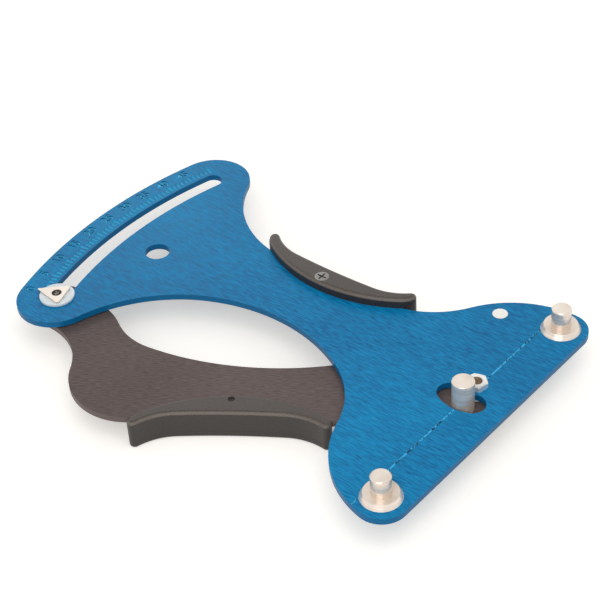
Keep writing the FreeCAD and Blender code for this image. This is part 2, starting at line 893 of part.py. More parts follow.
lever = new_body("LeverPlate")
sketch = sketch_on(lever, "LeverOutline", "XY_Plane")
outline(sketch, [
    Bend(CENTRE, size("pivot_lobe_radius"), True, "xyr"),
    Bend(None, size("pivot_shoulder_radius"), True, "left"),
    Bend(
        (-of_reach("lever_window_left_share"), of_reach("lever_window_up_share")),
        of_reach("lever_window_radius_share"), False, "xyr"),
    Bend(None, of_reach("lever_window_end_radius_share"), False, "left"),
    Bend(
        (-of_reach("lever_shoulder_left_share"), -of_reach("lever_shoulder_down_share")),
        of_reach("lever_shoulder_radius_share"), True, "xyr"),
    STRAIGHT,
    Bend(NEAR_END, size("lever_end_radius"), True, "xyr"),
    Bend(None, of_reach("lever_bay_radius_share"), False, "right"),
    Bend(
        (-of_reach("lever_lobe_left_share"), -of_reach("lever_lobe_down_share")),
        of_reach("lever_lobe_radius_share"), True, "xyr"),
    Bend(None, of_reach("lever_grip_bay_radius_share"), False, "right"),
    Bend(
        (-of_reach("lever_front_left_share"), -of_reach("lever_front_down_share")),
        size("lever_front_radius"), True, "xyr"),
    STRAIGHT,
])
pad(lever, sketch, PLATE, "LeverBlank")

sketch = sketch_on(lever, "LeverHoles", "XY_Plane")
circle(sketch, CENTRE, size("bush_radius") + size("running_gap"))
circle(sketch, MOVING_POST, size("post_screw_radius") + size("fit_gap"))
circle(sketch, POINTER, size("pointer_screw_radius") + size("fit_gap"))
circle(sketch, SPRING_POST, pin_radius + size("fit_gap"))
circle(sketch, LEVER_SCREW, size("lever_screw_radius") + size("fit_gap"))
pocket_all(lever, sketch, "LeverThroughHoles", PLATE)

sketch = sketch_on(lever, "LeverScrewSeat", "XY_Plane")
circle(sketch, MOVING_POST, size("post_screw_head_radius") + size("fit_gap"))
pocket(lever, sketch, size("post_screw_head_height"), "LeverSeat", True)
put(lever, "lever_plate", CENTRE, LEVER_BOTTOM)

# Pointer stack at the lever's end: washer, sleeve through the slot, washer, pointer, screw

sleeve = size("pointer_spacer_radius")
screw_hole = size("pointer_screw_radius") + size("fit_gap")
WASHER_BASE = TOP + size("slide_gap")
POINTER_BASE = WASHER_BASE + size("slide_washer_thickness")
washer_bore = sleeve + size("fit_gap")
ring("slide_washer_lower", size("slide_washer_radius"), washer_bore, upper_washer,
     POINTER, LEVER_TOP)
ring("slide_washer_upper", size("slide_washer_radius"), washer_bore,
     size("slide_washer_thickness"), POINTER, WASHER_BASE)
ring("pointer_spacer", sleeve, screw_hole, POINTER_BASE - LEVER_TOP, POINTER, LEVER_TOP)

pointer = new_body("Pointer")
sketch = sketch_on(pointer, "PointerOutline", "XY_Plane")
corner = size("pointer_corner_round")
corner_x = corner - size("pointer_back")
corner_y = size("pointer_half_width") - corner
tip_x = size("pointer_reach") - size("pointer_tip_round")
outline(sketch, [
    Bend((tip_x, ZERO), size("pointer_tip_round"), True, "xyr"),
    STRAIGHT,
    Bend((corner_x, corner_y), corner, True, "xyr"),
    STRAIGHT,
    Bend((corner_x, -corner_y), corner, True, "xyr"),
    STRAIGHT,
])
thick = size("pointer_thickness")
pad(pointer, sketch, thick, "PointerBlank")
head_radius = size("pointer_screw_head_radius")
head_depth = head_radius - size("pointer_screw_radius")
gap = size("fit_gap")


def sink(body, name, place, top, radius, hole, depth, bottom):
    """Countersunk hole with its axis at a place of the body's own plan."""
    over = size("cut_overrun")
    sketch = sketch_on(body, name + "Sketch", "XZ_Plane")
    bind(sketch, "AttachmentOffset.Base.x", place[0])
    bind(sketch, "AttachmentOffset.Base.z", -place[1])
    polygon(sketch, [
        (ZERO, bottom - over),
        (hole, bottom - over),
        (hole, top - depth),
        (radius, top),
        (radius, top + over),
        (ZERO, top + over),
    ])
    feature = body.newObject("PartDesign::Groove", name)
    feature.Profile = sketch
    feature.ReferenceAxis = (sketch, ["V_Axis"])
    feature.Angle = 360


sink(pointer, "PointerSink", CENTRE, thick, head_radius + gap, screw_hole, head_depth, ZERO)
POINTER_TURN = as_size(180) + size("pointer_angle")
put(pointer, "pointer", POINTER, POINTER_BASE, POINTER_TURN)


def cross_recess(body, name, reach, level):
    """Two crossed slots in a screw's top."""
    half = size("cross_width") / 2
    for index, (wide, tall) in enumerate(((reach, half), (half, reach))):
        sketch = sketch_on(body, "%sSketch%d" % (name, index), "XY_Plane")
        lift(sketch, level)
        polygon(sketch, [(-wide, -tall), (wide, -tall), (wide, tall), (-wide, tall)])
        pocket(body, sketch, size("cross_depth"), "%s%d" % (name, index), False)


def sunk_screw(label, head, shank, length, place, bottom, turn):
    """Countersunk screw, its head's top flush at the given length above its tip."""
    body = turned(label, [
        (ZERO, ZERO),
        (shank, ZERO),
        (shank, length - head + shank),
        (head, length),
        (ZERO, length),
    ], place, bottom, turn)
    cross_recess(body, "Cross_" + label, head * size("cross_share"), length)


pointer_top = POINTER_BASE + thick
sunk_screw("pointer_screw", head_radius, size("pointer_screw_radius"),
           pointer_top - LEVER_BOTTOM - gap, POINTER, LEVER_BOTTOM + gap, POINTER_TURN)

# Grips: one crescent outline serves both, drawn from a chord with the hollow side below


def crescent(name, grip, height):
    body = new_body(name)
    sketch = sketch_on(body, name + "Outline", "XY_Plane")
    chord = size(grip + "_grip_chord")
    inner_radius = of_chord(grip, "grip_inner_radius_share")
    outer_radius = of_chord(grip, "grip_outer_radius_share")
    flare = of_chord(grip, "grip_flare_radius_share")
    corner = of_chord(grip, "grip_corner_radius_share")
    inner = of_chord(grip, "grip_inner_rise_share") - inner_radius
    outer = of_chord(grip, "grip_outer_rise_share") - outer_radius
    end_x = size("grip_end_inset")
    end_y = -size("grip_end_drop")
    outline(sketch, [
        Bend((chord / 2, outer), outer_radius, False, "xyr"),
        Bend(None, flare, False, "left"),
        Bend((chord - end_x, end_y), size("grip_end_radius"), True, "xyr"),
        Bend(None, corner, True, "right"),
        Bend((chord / 2, inner), inner_radius, True, "xyr"),
        Bend(None, corner, True, "right"),
        Bend((end_x, end_y), size("grip_end_radius"), True, "xyr"),
        Bend(None, flare, False, "left"),
    ])
    pad(body, sketch, height, name + "Blank")
    return body


def round_level(body, name, level, radius):
    """Rounds all edges that lie at one height of the body."""
    doc.recompute()
    base = body.Tip
    shape = base.Shape
    names = []
    for index, edge in enumerate(shape.Edges):
        box = edge.BoundBox
        if abs(box.ZMax - level.number) < 1e-6 and abs(box.ZMin - level.number) < 1e-6:
            names.append("Edge%d" % (index + 1))
    feature = body.newObject("PartDesign::Fillet", name)
    feature.Base = (base, names)
    feature.Radius = radius.number
    bind(feature, "Radius", radius)
    return feature


BODY_GRIP_TURN = as_size(180) + size("body_grip_angle")
BODY_GRIP_START = grip_start(
    BODY_SCREW,
    size("body_grip_angle"),
    of_chord("body", "body_screw_along_share"),
    of_chord("body", "body_screw_in_share"),
    as_size(-1),
)
BODY_GRIP = (
    BODY_GRIP_START[0] + size("body_grip_chord") * cosine(size("body_grip_angle")),
    BODY_GRIP_START[1] + size("body_grip_chord") * sine(size("body_grip_angle")),
)
LEVER_GRIP = grip_start(
    LEVER_SCREW,
    size("lever_grip_angle"),
    of_chord("lever", "lever_screw_along_share"),
    of_chord("lever", "lever_screw_in_share"),
    as_size(1),
)
BODY_SCREW_AT = (
    size("body_grip_chord") - of_chord("body", "body_screw_along_share"),
    of_chord("body", "body_screw_in_share"),
)
LEVER_SCREW_AT = (
    of_chord("lever", "lever_screw_along_share"),
    of_chord("lever", "lever_screw_in_share"),
)
body_shank = size("body_screw_radius")
body_head = size("body_screw_head_radius")
rise = size("body_grip_rise")

upper_half = crescent("UpperHalf", "body", rise)
round_level(upper_half, "UpperRound", rise, size("grip_top_round"))
sink(upper_half, "UpperSink", BODY_SCREW_AT, rise, body_head + gap,
     body_shank + gap, body_head - body_shank, ZERO)
put(upper_half, "body_grip_upper", BODY_GRIP, TOP, BODY_GRIP_TURN)

lower_half = crescent("LowerHalf", "body", TOP)
round_level(lower_half, "LowerRound", ZERO, size("grip_bottom_round"))
sketch = sketch_on(lower_half, "LowerScrewHole", "XY_Plane")
circle(sketch, BODY_SCREW_AT, body_shank + gap)
pocket_all(lower_half, sketch, "LowerScrew", TOP)
nut_depth = size("body_nut_recess") + size("body_nut_height")
sketch = sketch_on(lower_half, "NutRecessSketch", "XY_Plane")
bind(sketch, "AttachmentOffset.Base.x", BODY_SCREW_AT[0])
bind(sketch, "AttachmentOffset.Base.y", BODY_SCREW_AT[1])
hexagon(sketch, size("body_nut_width") + gap * 2)
pocket(lower_half, sketch, nut_depth, "NutRecess", True)
put(lower_half, "", BODY_GRIP, ZERO, BODY_GRIP_TURN)

lower_grip = doc.addObject("Part::Cut", "BodyGripLower")
lower_grip.Base = lower_half
lower_grip.Tool = plate
lower_grip.Label = "body_grip_lower"
parts["body_grip_lower"] = lower_grip

sunk_screw("body_grip_screw", body_head, body_shank, TOP + rise - size("body_nut_recess"),
           BODY_SCREW, size("body_nut_recess"), BODY_GRIP_TURN)
hex_nut("body_grip_nut", size("body_nut_width"), size("body_nut_height"), body_shank + gap,
        BODY_SCREW, size("body_nut_recess"), BODY_GRIP_TURN)

lip_top = LEVER_TOP + size("lever_grip_lip")
lever_half = crescent("LeverHalf", "lever", lip_top)
round_level(lever_half, "LeverGripTopRound", lip_top, size("grip_top_round"))
round_level(lever_half, "LeverGripFootRound", ZERO, size("grip_bottom_round"))
sketch = sketch_on(lever_half, "LeverGripShankHole", "XY_Plane")
circle(sketch, LEVER_SCREW_AT, size("lever_screw_radius") + gap)
pocket_all(lever_half, sketch, "LeverGripShank", LEVER_TOP)
sketch = sketch_on(lever_half, "LeverGripHeadHole", "XY_Plane")
circle(sketch, LEVER_SCREW_AT, size("lever_screw_head_radius") + gap)
lever_head = size("lever_screw_head_height")
pocket(lever_half, sketch, size("lever_screw_recess") + lever_head, "LeverGripHead", True)
sketch = sketch_on(lever_half, "LeverGripWindow", "XY_Plane")
lift(sketch, lip_top)
circle(sketch, LEVER_SCREW_AT, size("lever_screw_window_radius"))
pocket(lever_half, sketch, size("lever_grip_lip") + PLATE, "LeverGripWindowCut", False)
put(lever_half, "", LEVER_GRIP, ZERO, size("lever_grip_angle"))

lever_grip = doc.addObject("Part::Cut", "LeverGrip")
lever_grip.Base = lever_half
lever_grip.Tool = lever
lever_grip.Label = "lever_grip"
parts["lever_grip"] = lever_grip

lever_shank = size("lever_screw_radius")
screw_tip = LEVER_TOP - size("lever_screw_recess") - size("slide_gap")
screw = turned("lever_grip_screw", [
    (ZERO, ZERO),
    (size("lever_screw_head_radius"), ZERO),
    (size("lever_screw_head_radius"), lever_head),
    (lever_shank, lever_head),
    (lever_shank, screw_tip),
    (ZERO, screw_tip),
], LEVER_SCREW, size("lever_screw_recess"))
hex_socket(screw, "LeverGripSocket", size("hex_socket_width"), size("hex_socket_depth"))
doc.recompute()

# Return spring: one wire from pin to pin, straight where it enters each pin's cross hole,
# wound between, its path made of pairs of tangent arcs

coil_radius = size("spring_coil_radius").number
wire_radius = size("spring_wire_radius").number
coil_length = size("spring_coil_length").number
turns = size("spring_turns").number
nodes_a_turn = 2
step_from = FreeCAD.Vector(SPRING_POST[0].number, SPRING_POST[1].number, 0)
step_to = FreeCAD.Vector(ANCHOR[0].number, ANCHOR[1].number, 0)
span = (step_to - step_from).Length
wire_start = pin_radius.number - size("spring_wire_bite").number
lead_end = pin_radius.number + size("spring_lead").number
coil_start = (span - coil_length) / 2


def coil_point(part_turn):
    """Place and direction on the coil, which lies along X."""
    angle = math.tau * part_turn
    x = coil_start + coil_length * part_turn / turns
    place = FreeCAD.Vector(x, coil_radius * math.cos(angle), coil_radius * math.sin(angle))
    rate = math.tau * coil_radius
    way = FreeCAD.Vector(
        coil_length / turns, -rate * math.sin(angle), rate * math.cos(angle))
    return place, way.normalize()


def arc_between(start, corner, end):
    """Arc from start to end whose end tangents meet at the corner."""
    middle = (start + end) * 0.5
    half_chord = (end - start).Length / 2
    rise_line = corner - middle
    rise = rise_line.Length
    if rise < wire_radius * 1e-4:
        return Part.LineSegment(start, end).toShape(), math.inf
    leg = (corner - start).Length
    radius = half_chord * leg / rise
    sag = radius - math.sqrt(radius ** 2 - half_chord ** 2)
    crown = middle + rise_line * (sag / rise)
    return Part.Arc(start, crown, end).toShape(), radius


def two_arcs(start, start_way, end, end_way):
    line = end - start
    both = start_way + end_way
    square = line * line
    cross = line * both
    spread = 2 * (1 - start_way * end_way)
    reach = (math.sqrt(cross ** 2 + spread * square) - cross) / spread
    one = start + start_way * reach
    two = end - end_way * reach
    joint = (one + two) * 0.5
    return [arc_between(start, one, joint), arc_between(joint, two, end)]


along = FreeCAD.Vector(1, 0, 0)
nodes = [(FreeCAD.Vector(lead_end, 0, 0), along)]
for node in range(int(turns) * nodes_a_turn + 1):
    nodes.append(coil_point(node / nodes_a_turn))
nodes.append((FreeCAD.Vector(span - lead_end, 0, 0), along))
edges = [Part.LineSegment(FreeCAD.Vector(wire_start, 0, 0), nodes[0][0]).toShape()]
radii = []
for before, after in zip(nodes, nodes[1:]):
    for edge, radius in two_arcs(before[0], before[1], after[0], after[1]):
        edges.append(edge)
        radii.append(radius)
wire_finish = FreeCAD.Vector(span - wire_start, 0, 0)
edges.append(Part.LineSegment(nodes[-1][0], wire_finish).toShape())
path = Part.Wire(edges)
section = Part.Wire(Part.makeCircle(wire_radius, FreeCAD.Vector(wire_start, 0, 0), along))
tube = path.makePipeShell([section], True, False)
ideal = math.pi * wire_radius ** 2 * path.Length
print("spring wire length", round(path.Length, 2), "smallest bend", round(min(radii), 3),
      "volume ratio", round(tube.Volume / ideal, 5))
trail = []
for edge in edges:
    for point in edge.discretize(Number=7)[:-1]:
        trail.append(point)
least = math.inf
skip = 14
for index, point in enumerate(trail):
    for other in trail[index + skip:]:
        least = min(least, (other - point).Length)
print("spring least gap to itself", round(least - 2 * wire_radius, 3))
spring = doc.addObject("Part::Feature", "ReturnSpring")
spring.Shape = tube
spring_angle = SPRING_HEADING.number
spring.Placement = FreeCAD.Placement(
    FreeCAD.Vector(
        (SHIFT_X + SPRING_POST[0]).number,
        (SHIFT_Y + SPRING_POST[1]).number,
        SPRING_LEVEL.number,
    ),
    FreeCAD.Rotation(FreeCAD.Vector(0, 0, 1), spring_angle),
)
spring.Label = "return_spring"
parts["return_spring"] = spring

# Every object is looked at before anything is written

doc.recompute()
faults = []
for thing in doc.Objects:
    if "Invalid" in thing.State or "Error" in thing.State:
        faults.append("%s: %s" % (thing.Label, thing.getStatusString()))
for label, thing in parts.items():
    shape = thing.Shape
    if shape.isNull() or not shape.isValid() or not shape.Solids:
        faults.append("%s has no sound solid" % label)
if faults:
    raise RuntimeError("; ".join(faults))

os.makedirs("parts", exist_ok=True)
for label, thing in parts.items():
    shape = thing.Shape
    box = shape.BoundBox
    print("%-22s %d solid, %9.1f mm3, X %8.2f %8.2f  Y %8.2f %8.2f  Z %6.2f %6.2f" % (
        label, len(shape.Solids), shape.Volume, box.XMin, box.XMax,
        box.YMin, box.YMax, box.ZMin, box.ZMax))
    shape.exportStep("parts/%s.step" % label)
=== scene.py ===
# %% [markdown]
# # Spoke tension meter
# A wheel builder lays a spoke against two fixed posts and lets a sprung third post press on
# it. A pointer on the lever then reads the spoke's deflection on an arc scale. This lesson
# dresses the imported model. It sets up the view and gives each metal and plastic its finish.
# Then it models again the four pieces whose fine shape shows: the return spring, the plate
# with its marks, and the pivot's nut and bolt.

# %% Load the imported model
import json
import math

import bpy
from mathutils import Matrix, Quaternion, Vector


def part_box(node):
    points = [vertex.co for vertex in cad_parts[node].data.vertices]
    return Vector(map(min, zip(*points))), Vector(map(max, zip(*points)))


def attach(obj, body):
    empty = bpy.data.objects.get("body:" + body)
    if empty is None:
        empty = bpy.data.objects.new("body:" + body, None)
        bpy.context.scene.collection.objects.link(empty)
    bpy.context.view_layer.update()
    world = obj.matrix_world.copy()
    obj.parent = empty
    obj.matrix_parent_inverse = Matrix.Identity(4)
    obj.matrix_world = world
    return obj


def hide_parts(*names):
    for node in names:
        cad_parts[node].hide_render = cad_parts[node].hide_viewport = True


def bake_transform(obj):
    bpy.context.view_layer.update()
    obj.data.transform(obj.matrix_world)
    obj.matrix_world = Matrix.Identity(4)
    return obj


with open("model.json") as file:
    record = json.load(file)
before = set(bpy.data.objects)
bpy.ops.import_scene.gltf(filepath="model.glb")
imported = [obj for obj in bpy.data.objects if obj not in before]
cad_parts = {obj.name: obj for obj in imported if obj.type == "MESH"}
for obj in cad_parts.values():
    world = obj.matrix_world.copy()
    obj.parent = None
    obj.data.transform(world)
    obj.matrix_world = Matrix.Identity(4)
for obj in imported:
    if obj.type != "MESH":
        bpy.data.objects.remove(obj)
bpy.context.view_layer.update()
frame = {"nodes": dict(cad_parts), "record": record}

MM = 0.001
nodes = frame["nodes"]

# %% [markdown]
# Every place on the tool is easiest to say from the lever's pivot, where the arc scale has its
# centre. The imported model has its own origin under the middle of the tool, so one small
# function shifts a place from the pivot to there, and turns millimetres into metres.

# %% Places about the pivot
PIVOT = Vector((107.75, 22.0752, 18.8))


def place(right, up, above=0.0):
    """Point in metres, from millimetres about the pivot on the fixed plate's top face."""
    return (Vector((right, up, above)) + PIVOT) * MM


nut_low, nut_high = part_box("pivot_nut")
print("pivot", place(0, 0), "nut's middle", (nut_low + nut_high) / 2)

# %% [markdown]
# The camera stands where the photographer stood. Its lens and place were worked out from the
# round posts and straight lines of the picture. A camera looks along its own minus Z, so a
# track quaternion turns it to the aim point, and a small roll levels the picture as it was.
# The Standard view shows colours as they are worked out.

# %% Camera
CAMERA_AZIMUTH = math.radians(42.132)
CAMERA_ELEVATION = math.radians(38.491)
CAMERA_ROLL = math.radians(-3.655)
CAMERA_DISTANCE = 818.68 * MM
CAMERA_AIM = Vector((1.983, 22.155, 18.8)) * MM
LENS_LENGTH, SENSOR_WIDTH, NEAREST_SEEN = 99.757, 36, 0.05

back = Vector((
    math.sin(CAMERA_AZIMUTH) * math.cos(CAMERA_ELEVATION),
    -math.cos(CAMERA_AZIMUTH) * math.cos(CAMERA_ELEVATION),
    math.sin(CAMERA_ELEVATION),
))
facing = (-back).to_track_quat("-Z", "Y") @ Quaternion((0, 0, 1), CAMERA_ROLL)
bpy.ops.object.camera_add(
    location=CAMERA_AIM + back * CAMERA_DISTANCE, rotation=facing.to_euler())
camera = bpy.context.object
camera.name = "photo_camera"
camera.data.lens = LENS_LENGTH
camera.data.sensor_width = SENSOR_WIDTH
camera.data.clip_start = NEAREST_SEEN
bpy.context.scene.camera = camera
bpy.context.scene.view_settings.view_transform = "Standard"
print("camera at", camera.location)

# %% [markdown]
# Materials and the background are graphs of small nodes. The helper feed fills one input, with
# a link or a plain value. The others each add one node and hand back its output. So a graph
# reads like a sum, from the inside out.

# %% Helpers for node graphs


def feed(tree, value, socket):
    """Links a node's output to a socket, or sets the socket to a plain value."""
    if isinstance(value, bpy.types.NodeSocket):
        tree.links.new(value, socket)
    else:
        socket.default_value = value


def maths(tree, operation, *values):
    """Math node's output."""
    node = tree.nodes.new("ShaderNodeMath")
    node.operation = operation
    for value, socket in zip(values, node.inputs):
        feed(tree, value, socket)
    return node.outputs[0]


def z_part(tree, vector):
    """Z part of a vector."""
    split = tree.nodes.new("ShaderNodeSeparateXYZ")
    tree.links.new(vector, split.inputs[0])
    return split.outputs["Z"]


def mixed(tree, share, first, second, way="MIX"):
    """Mix of two colours, by a share that is 0 for the first alone."""
    mix = tree.nodes.new("ShaderNodeMix")
    mix.data_type = "RGBA"
    mix.blend_type = way
    for value, name in ((share, "Factor"), (first, "A"), (second, "B")):
        feed(tree, value, mix.inputs[name])
    return mix.outputs["Result"]


def two_tones(tree, fac, dark, light, low=0.35, high=0.65):
    """Colour ramp between two tones."""
    ramp = tree.nodes.new("ShaderNodeValToRGB")
    ramp.color_ramp.elements[0].position = low
    ramp.color_ramp.elements[0].color = (*dark, 1)
    ramp.color_ramp.elements[1].position = high
    ramp.color_ramp.elements[1].color = (*light, 1)
    tree.links.new(fac, ramp.inputs["Fac"])
    return ramp.outputs["Color"]


# %% [markdown]
# The tool lies on a white table that runs into a white background. The floor is pale and a
# little glossy, so it keeps the soft shadow and a faint mirror image. A little emission lifts
# it to white. The Light Path node tells which ray asks, so only camera, mirror and glass rays
# see that emission, and it lights nothing else.

# %% Floor
FLOOR_SIZE, FLOOR_DROP = 6, 0.0002
FLOOR_TONE, FLOOR_ROUGHNESS, FLOOR_SHINE = (0.72, 0.70, 0.665, 1), 0.5, 0.2
LIFT_TONE, LIFT = (1.0, 0.975, 0.94, 1), 0.45


def seen_directly(tree):
    """Output that is 1 for camera, glossy and transmission rays, and 0 for light rays."""
    ray = tree.nodes.new("ShaderNodeLightPath").outputs
    seen = maths(tree, "MAXIMUM", ray["Is Camera Ray"], ray["Is Glossy Ray"])
    return maths(tree, "MAXIMUM", seen, ray["Is Transmission Ray"])


bpy.ops.mesh.primitive_plane_add(size=FLOOR_SIZE, location=(0, 0, -FLOOR_DROP))
floor = bpy.context.object
floor.name = "floor"
table_top = bpy.data.materials.new("table_top")
table_top.use_nodes = True
tree = table_top.node_tree
paint = tree.nodes["Principled BSDF"].inputs
paint["Base Color"].default_value = FLOOR_TONE
paint["Roughness"].default_value = FLOOR_ROUGHNESS
paint["Specular IOR Level"].default_value = FLOOR_SHINE
paint["Emission Color"].default_value = LIFT_TONE
feed(tree, maths(tree, "MULTIPLY", seen_directly(tree), LIFT), paint["Emission Strength"])
floor.data.materials.append(table_top)
print("floor, metres", FLOOR_SIZE)

# %% [markdown]
# The background changes with height, from the walls up to the ceiling. Camera and mirror rays
# see white walls under a grey ceiling, so polished metal has something to show. Light rays get
# dim walls and a bright ceiling instead, so upright sides are darker than tops.

# %% Background
WHITE_WALL, GREY_CEILING = (1, 1, 1), (0.30, 0.30, 0.30)
DIM_WALL, BRIGHT_CEILING = (0.42, 0.42, 0.42), (0.76, 0.76, 0.76)
SEEN_WALL_TOP, SEEN_CEILING_START = 0.62, 0.88
LIT_WALL_TOP, LIT_CEILING_START = 0.0, 0.8

world = bpy.data.worlds.new("studio")
world.use_nodes = True
bpy.context.scene.world = world
tree = world.node_tree
height = z_part(tree, tree.nodes.new("ShaderNodeTexCoord").outputs["Generated"])
lighting = two_tones(tree, height, DIM_WALL, BRIGHT_CEILING, LIT_WALL_TOP, LIT_CEILING_START)
view = two_tones(tree, height, WHITE_WALL, GREY_CEILING, SEEN_WALL_TOP, SEEN_CEILING_START)
sky = tree.nodes["Background"].inputs
feed(tree, mixed(tree, seen_directly(tree), lighting, view), sky["Color"])
sky["Strength"].default_value = 1.0
print("background", world.name)

# %% [markdown]
# Three lamps make the studio. A small weak one behind the scale's far end glances off the
# brushed tops towards the camera. A wide one overhead draws a bright line along the grips'
# rounded shoulders. Another wide one in front of the near post keeps the posts' sides bright.

# %% Lamps
LAMP_AIM = Vector((0, 0, 0.02))


def soft_lamp(name, location, size, power):
    """Square area lamp that faces the tool's middle."""
    facing = (LAMP_AIM - Vector(location)).to_track_quat("-Z", "Y")
    bpy.ops.object.light_add(type="AREA", location=location, rotation=facing.to_euler())
    lamp = bpy.context.object
    lamp.name = name
    lamp.data.size = size
    lamp.data.energy = power
    print(name, "watts", power)


soft_lamp("lamp_behind_scale", (-1.17, 0.95, 0.98), 0.30, 0.8)
soft_lamp("lamp_overhead", (0.40, -0.25, 1.15), 0.8, 2.8)
soft_lamp("lamp_by_near_post", (0.40, -0.80, 0.65), 0.8, 3.0)

# %% [markdown]
# Each finish is a node material on Object coordinates. The finished pieces all share the
# tool's own frame, so a brush line keeps its size and way on every plate. This helper starts a
# finish and hands back what the finish then wires up.

# %% Start of a finish


def start_finish(name, stretch=(1, 1, 1), turn=0.0):
    """New material, with Object coordinates turned in plan, then stretched, by Mapping nodes."""
    finish = bpy.data.materials.new(name)
    finish.use_nodes = True
    tree = finish.node_tree
    shader = tree.nodes["Principled BSDF"]
    where = tree.nodes.new("ShaderNodeTexCoord").outputs["Object"]
    for setting, value in (("Rotation", (0, 0, -turn)), ("Scale", stretch)):
        mapping = tree.nodes.new("ShaderNodeMapping")
        mapping.inputs[setting].default_value = value
        tree.links.new(where, mapping.inputs["Vector"])
        where = mapping.outputs["Vector"]
    return finish, tree, shader, where


# %% [markdown]
# Most finishes vary by noise. One helper makes the noise, one turns it into a range of gloss,
# and one makes it into small bumps on the shader's normal.

# %% Noise, range and bump


def noise(tree, vector, scale, detail=2.0, rough=0.5):
    """Noise texture's grey output."""
    cloud = tree.nodes.new("ShaderNodeTexNoise")
    cloud.inputs["Scale"].default_value = scale
    cloud.inputs["Detail"].default_value = detail
    cloud.inputs["Roughness"].default_value = rough
    tree.links.new(vector, cloud.inputs["Vector"])
    return cloud.outputs["Fac"]


def spread(tree, fac, low, high):
    """Gloss between two values, from the middle part of a noise, where it mostly lies."""
    span = tree.nodes.new("ShaderNodeMapRange")
    for name, value in (("From Min", 0.3), ("From Max", 0.7), ("To Min", low), ("To Max", high)):
        span.inputs[name].default_value = value
    tree.links.new(fac, span.inputs["Value"])
    return span.outputs["Result"]


def bump(tree, shader, height, strength, distance):
    """Bump on the shader's normal."""
    relief = tree.nodes.new("ShaderNodeBump")
    relief.inputs["Strength"].default_value = strength
    relief.inputs["Distance"].default_value = distance
    tree.links.new(height, relief.inputs["Height"])
    tree.links.new(relief.outputs["Normal"], shader.inputs["Normal"])


# %% [markdown]
# Both plates are aluminium, brushed along their own length and then anodised, one blue and one
# charcoal brown. Noise that is stretched ten times along one way gives brush lines well
# under a millimetre apart. They shift the tone a little, and the gloss more. A wide cloud
# moves the tone slowly over the plate, and the milled walls have a tone of their own. On the
# blue plate that wall tone is set darker, partly as painted shade on the walls.

# %% Brushed and anodised plates
BRUSH_STRETCH, BRUSH_SHARE, CLOUD_SHARE, CLOUD_SCALE = 10, 0.75, 0.25, 16
DEEP_BELOW, PALE_ABOVE = 0.32, 0.68
BRUSH_BUMP, BRUSH_DEPTH, PLATE_SHINE = 0.30, 0.00006, 0.17


def surface_normal(tree):
    """Direction that the surface faces."""
    return tree.nodes.new("ShaderNodeTexCoord").outputs["Normal"]


def flatness(tree):
    """1 on level faces and 0 on upright walls."""
    steepness = maths(tree, "ABSOLUTE", z_part(tree, surface_normal(tree)))
    return maths(tree, "GREATER_THAN", steepness, 0.5)


def brushed_plate(name, deep, pale, wall, metal, gloss_low, gloss_high, across, turn=0.0):
    """Brushed faces between a deep and a pale tone, and smooth walls of a third; blue's has
    painted shade.
    """
    stretch = (across / BRUSH_STRETCH, across, across)
    finish, tree, shader, lines_at = start_finish(name, stretch, turn)
    brush = noise(tree, lines_at, 1.0, 1.0, 0.6)
    cloud = noise(tree, tree.nodes.new("ShaderNodeTexCoord").outputs["Object"], CLOUD_SCALE)
    cloud_part = maths(tree, "MULTIPLY", cloud, CLOUD_SHARE)
    pattern = maths(tree, "MULTIPLY_ADD", brush, BRUSH_SHARE, cloud_part)
    face = two_tones(tree, pattern, deep, pale, DEEP_BELOW, PALE_ABOVE)
    feed(tree, mixed(tree, flatness(tree), (*wall, 1), face), shader.inputs["Base Color"])
    feed(tree, spread(tree, brush, gloss_low, gloss_high), shader.inputs["Roughness"])
    bump(tree, shader, brush, BRUSH_BUMP, BRUSH_DEPTH)
    shader.inputs["Metallic"].default_value = metal
    shader.inputs["Specular IOR Level"].default_value = PLATE_SHINE
    return finish


# The blue plate's wall tone is darker than its tops, partly as painted shade on the walls.
blue_anodised = brushed_plate(
    "blue_anodised", deep=(0.000, 0.098, 0.262), pale=(0.002, 0.258, 0.525),
    wall=(0.002, 0.135, 0.320), metal=0.06, gloss_low=0.28, gloss_high=0.46, across=2200)
brown_anodised = brushed_plate(
    "brown_anodised", deep=(0.076, 0.056, 0.052), pale=(0.162, 0.124, 0.117),
    wall=(0.150, 0.118, 0.110), metal=0.20, gloss_low=0.42, gloss_high=0.56, across=2500,
    turn=math.radians(33))
print("plates", blue_anodised.name, brown_anodised.name)

# %% [markdown]
# The grips are moulded in dark grey plastic with a fine spark-eroded grain, well under a
# millimetre across. The same noise varies its tone and its gloss. Light and shade are painted
# on by the way the surface faces: a painted highlight on the rounded shoulders, painted shade
# on the walls, and tops in between. A ramp on the height of the surface's own normal gives
# that: 0 on a wall and 1 on a level top.

# %% Moulded grips
GRAIN_SCALE, GRAIN_ROUGHNESS = 1700, 0.6
GRIP_DEEP, GRIP_PALE = (0.092, 0.072, 0.059), (0.165, 0.134, 0.113)
# Greys that paint a highlight on the shoulders and shade on the walls, by the normal's height.
PAINTED_LIGHT_SLOPES, PAINTED_LIGHT_GREYS = (0.15, 0.45, 0.80, 0.99), (0.22, 1.0, 0.9, 0.52)

grip_black, tree, shader, at = start_finish("grip_black")
grain = noise(tree, at, GRAIN_SCALE, 2.0, GRAIN_ROUGHNESS)
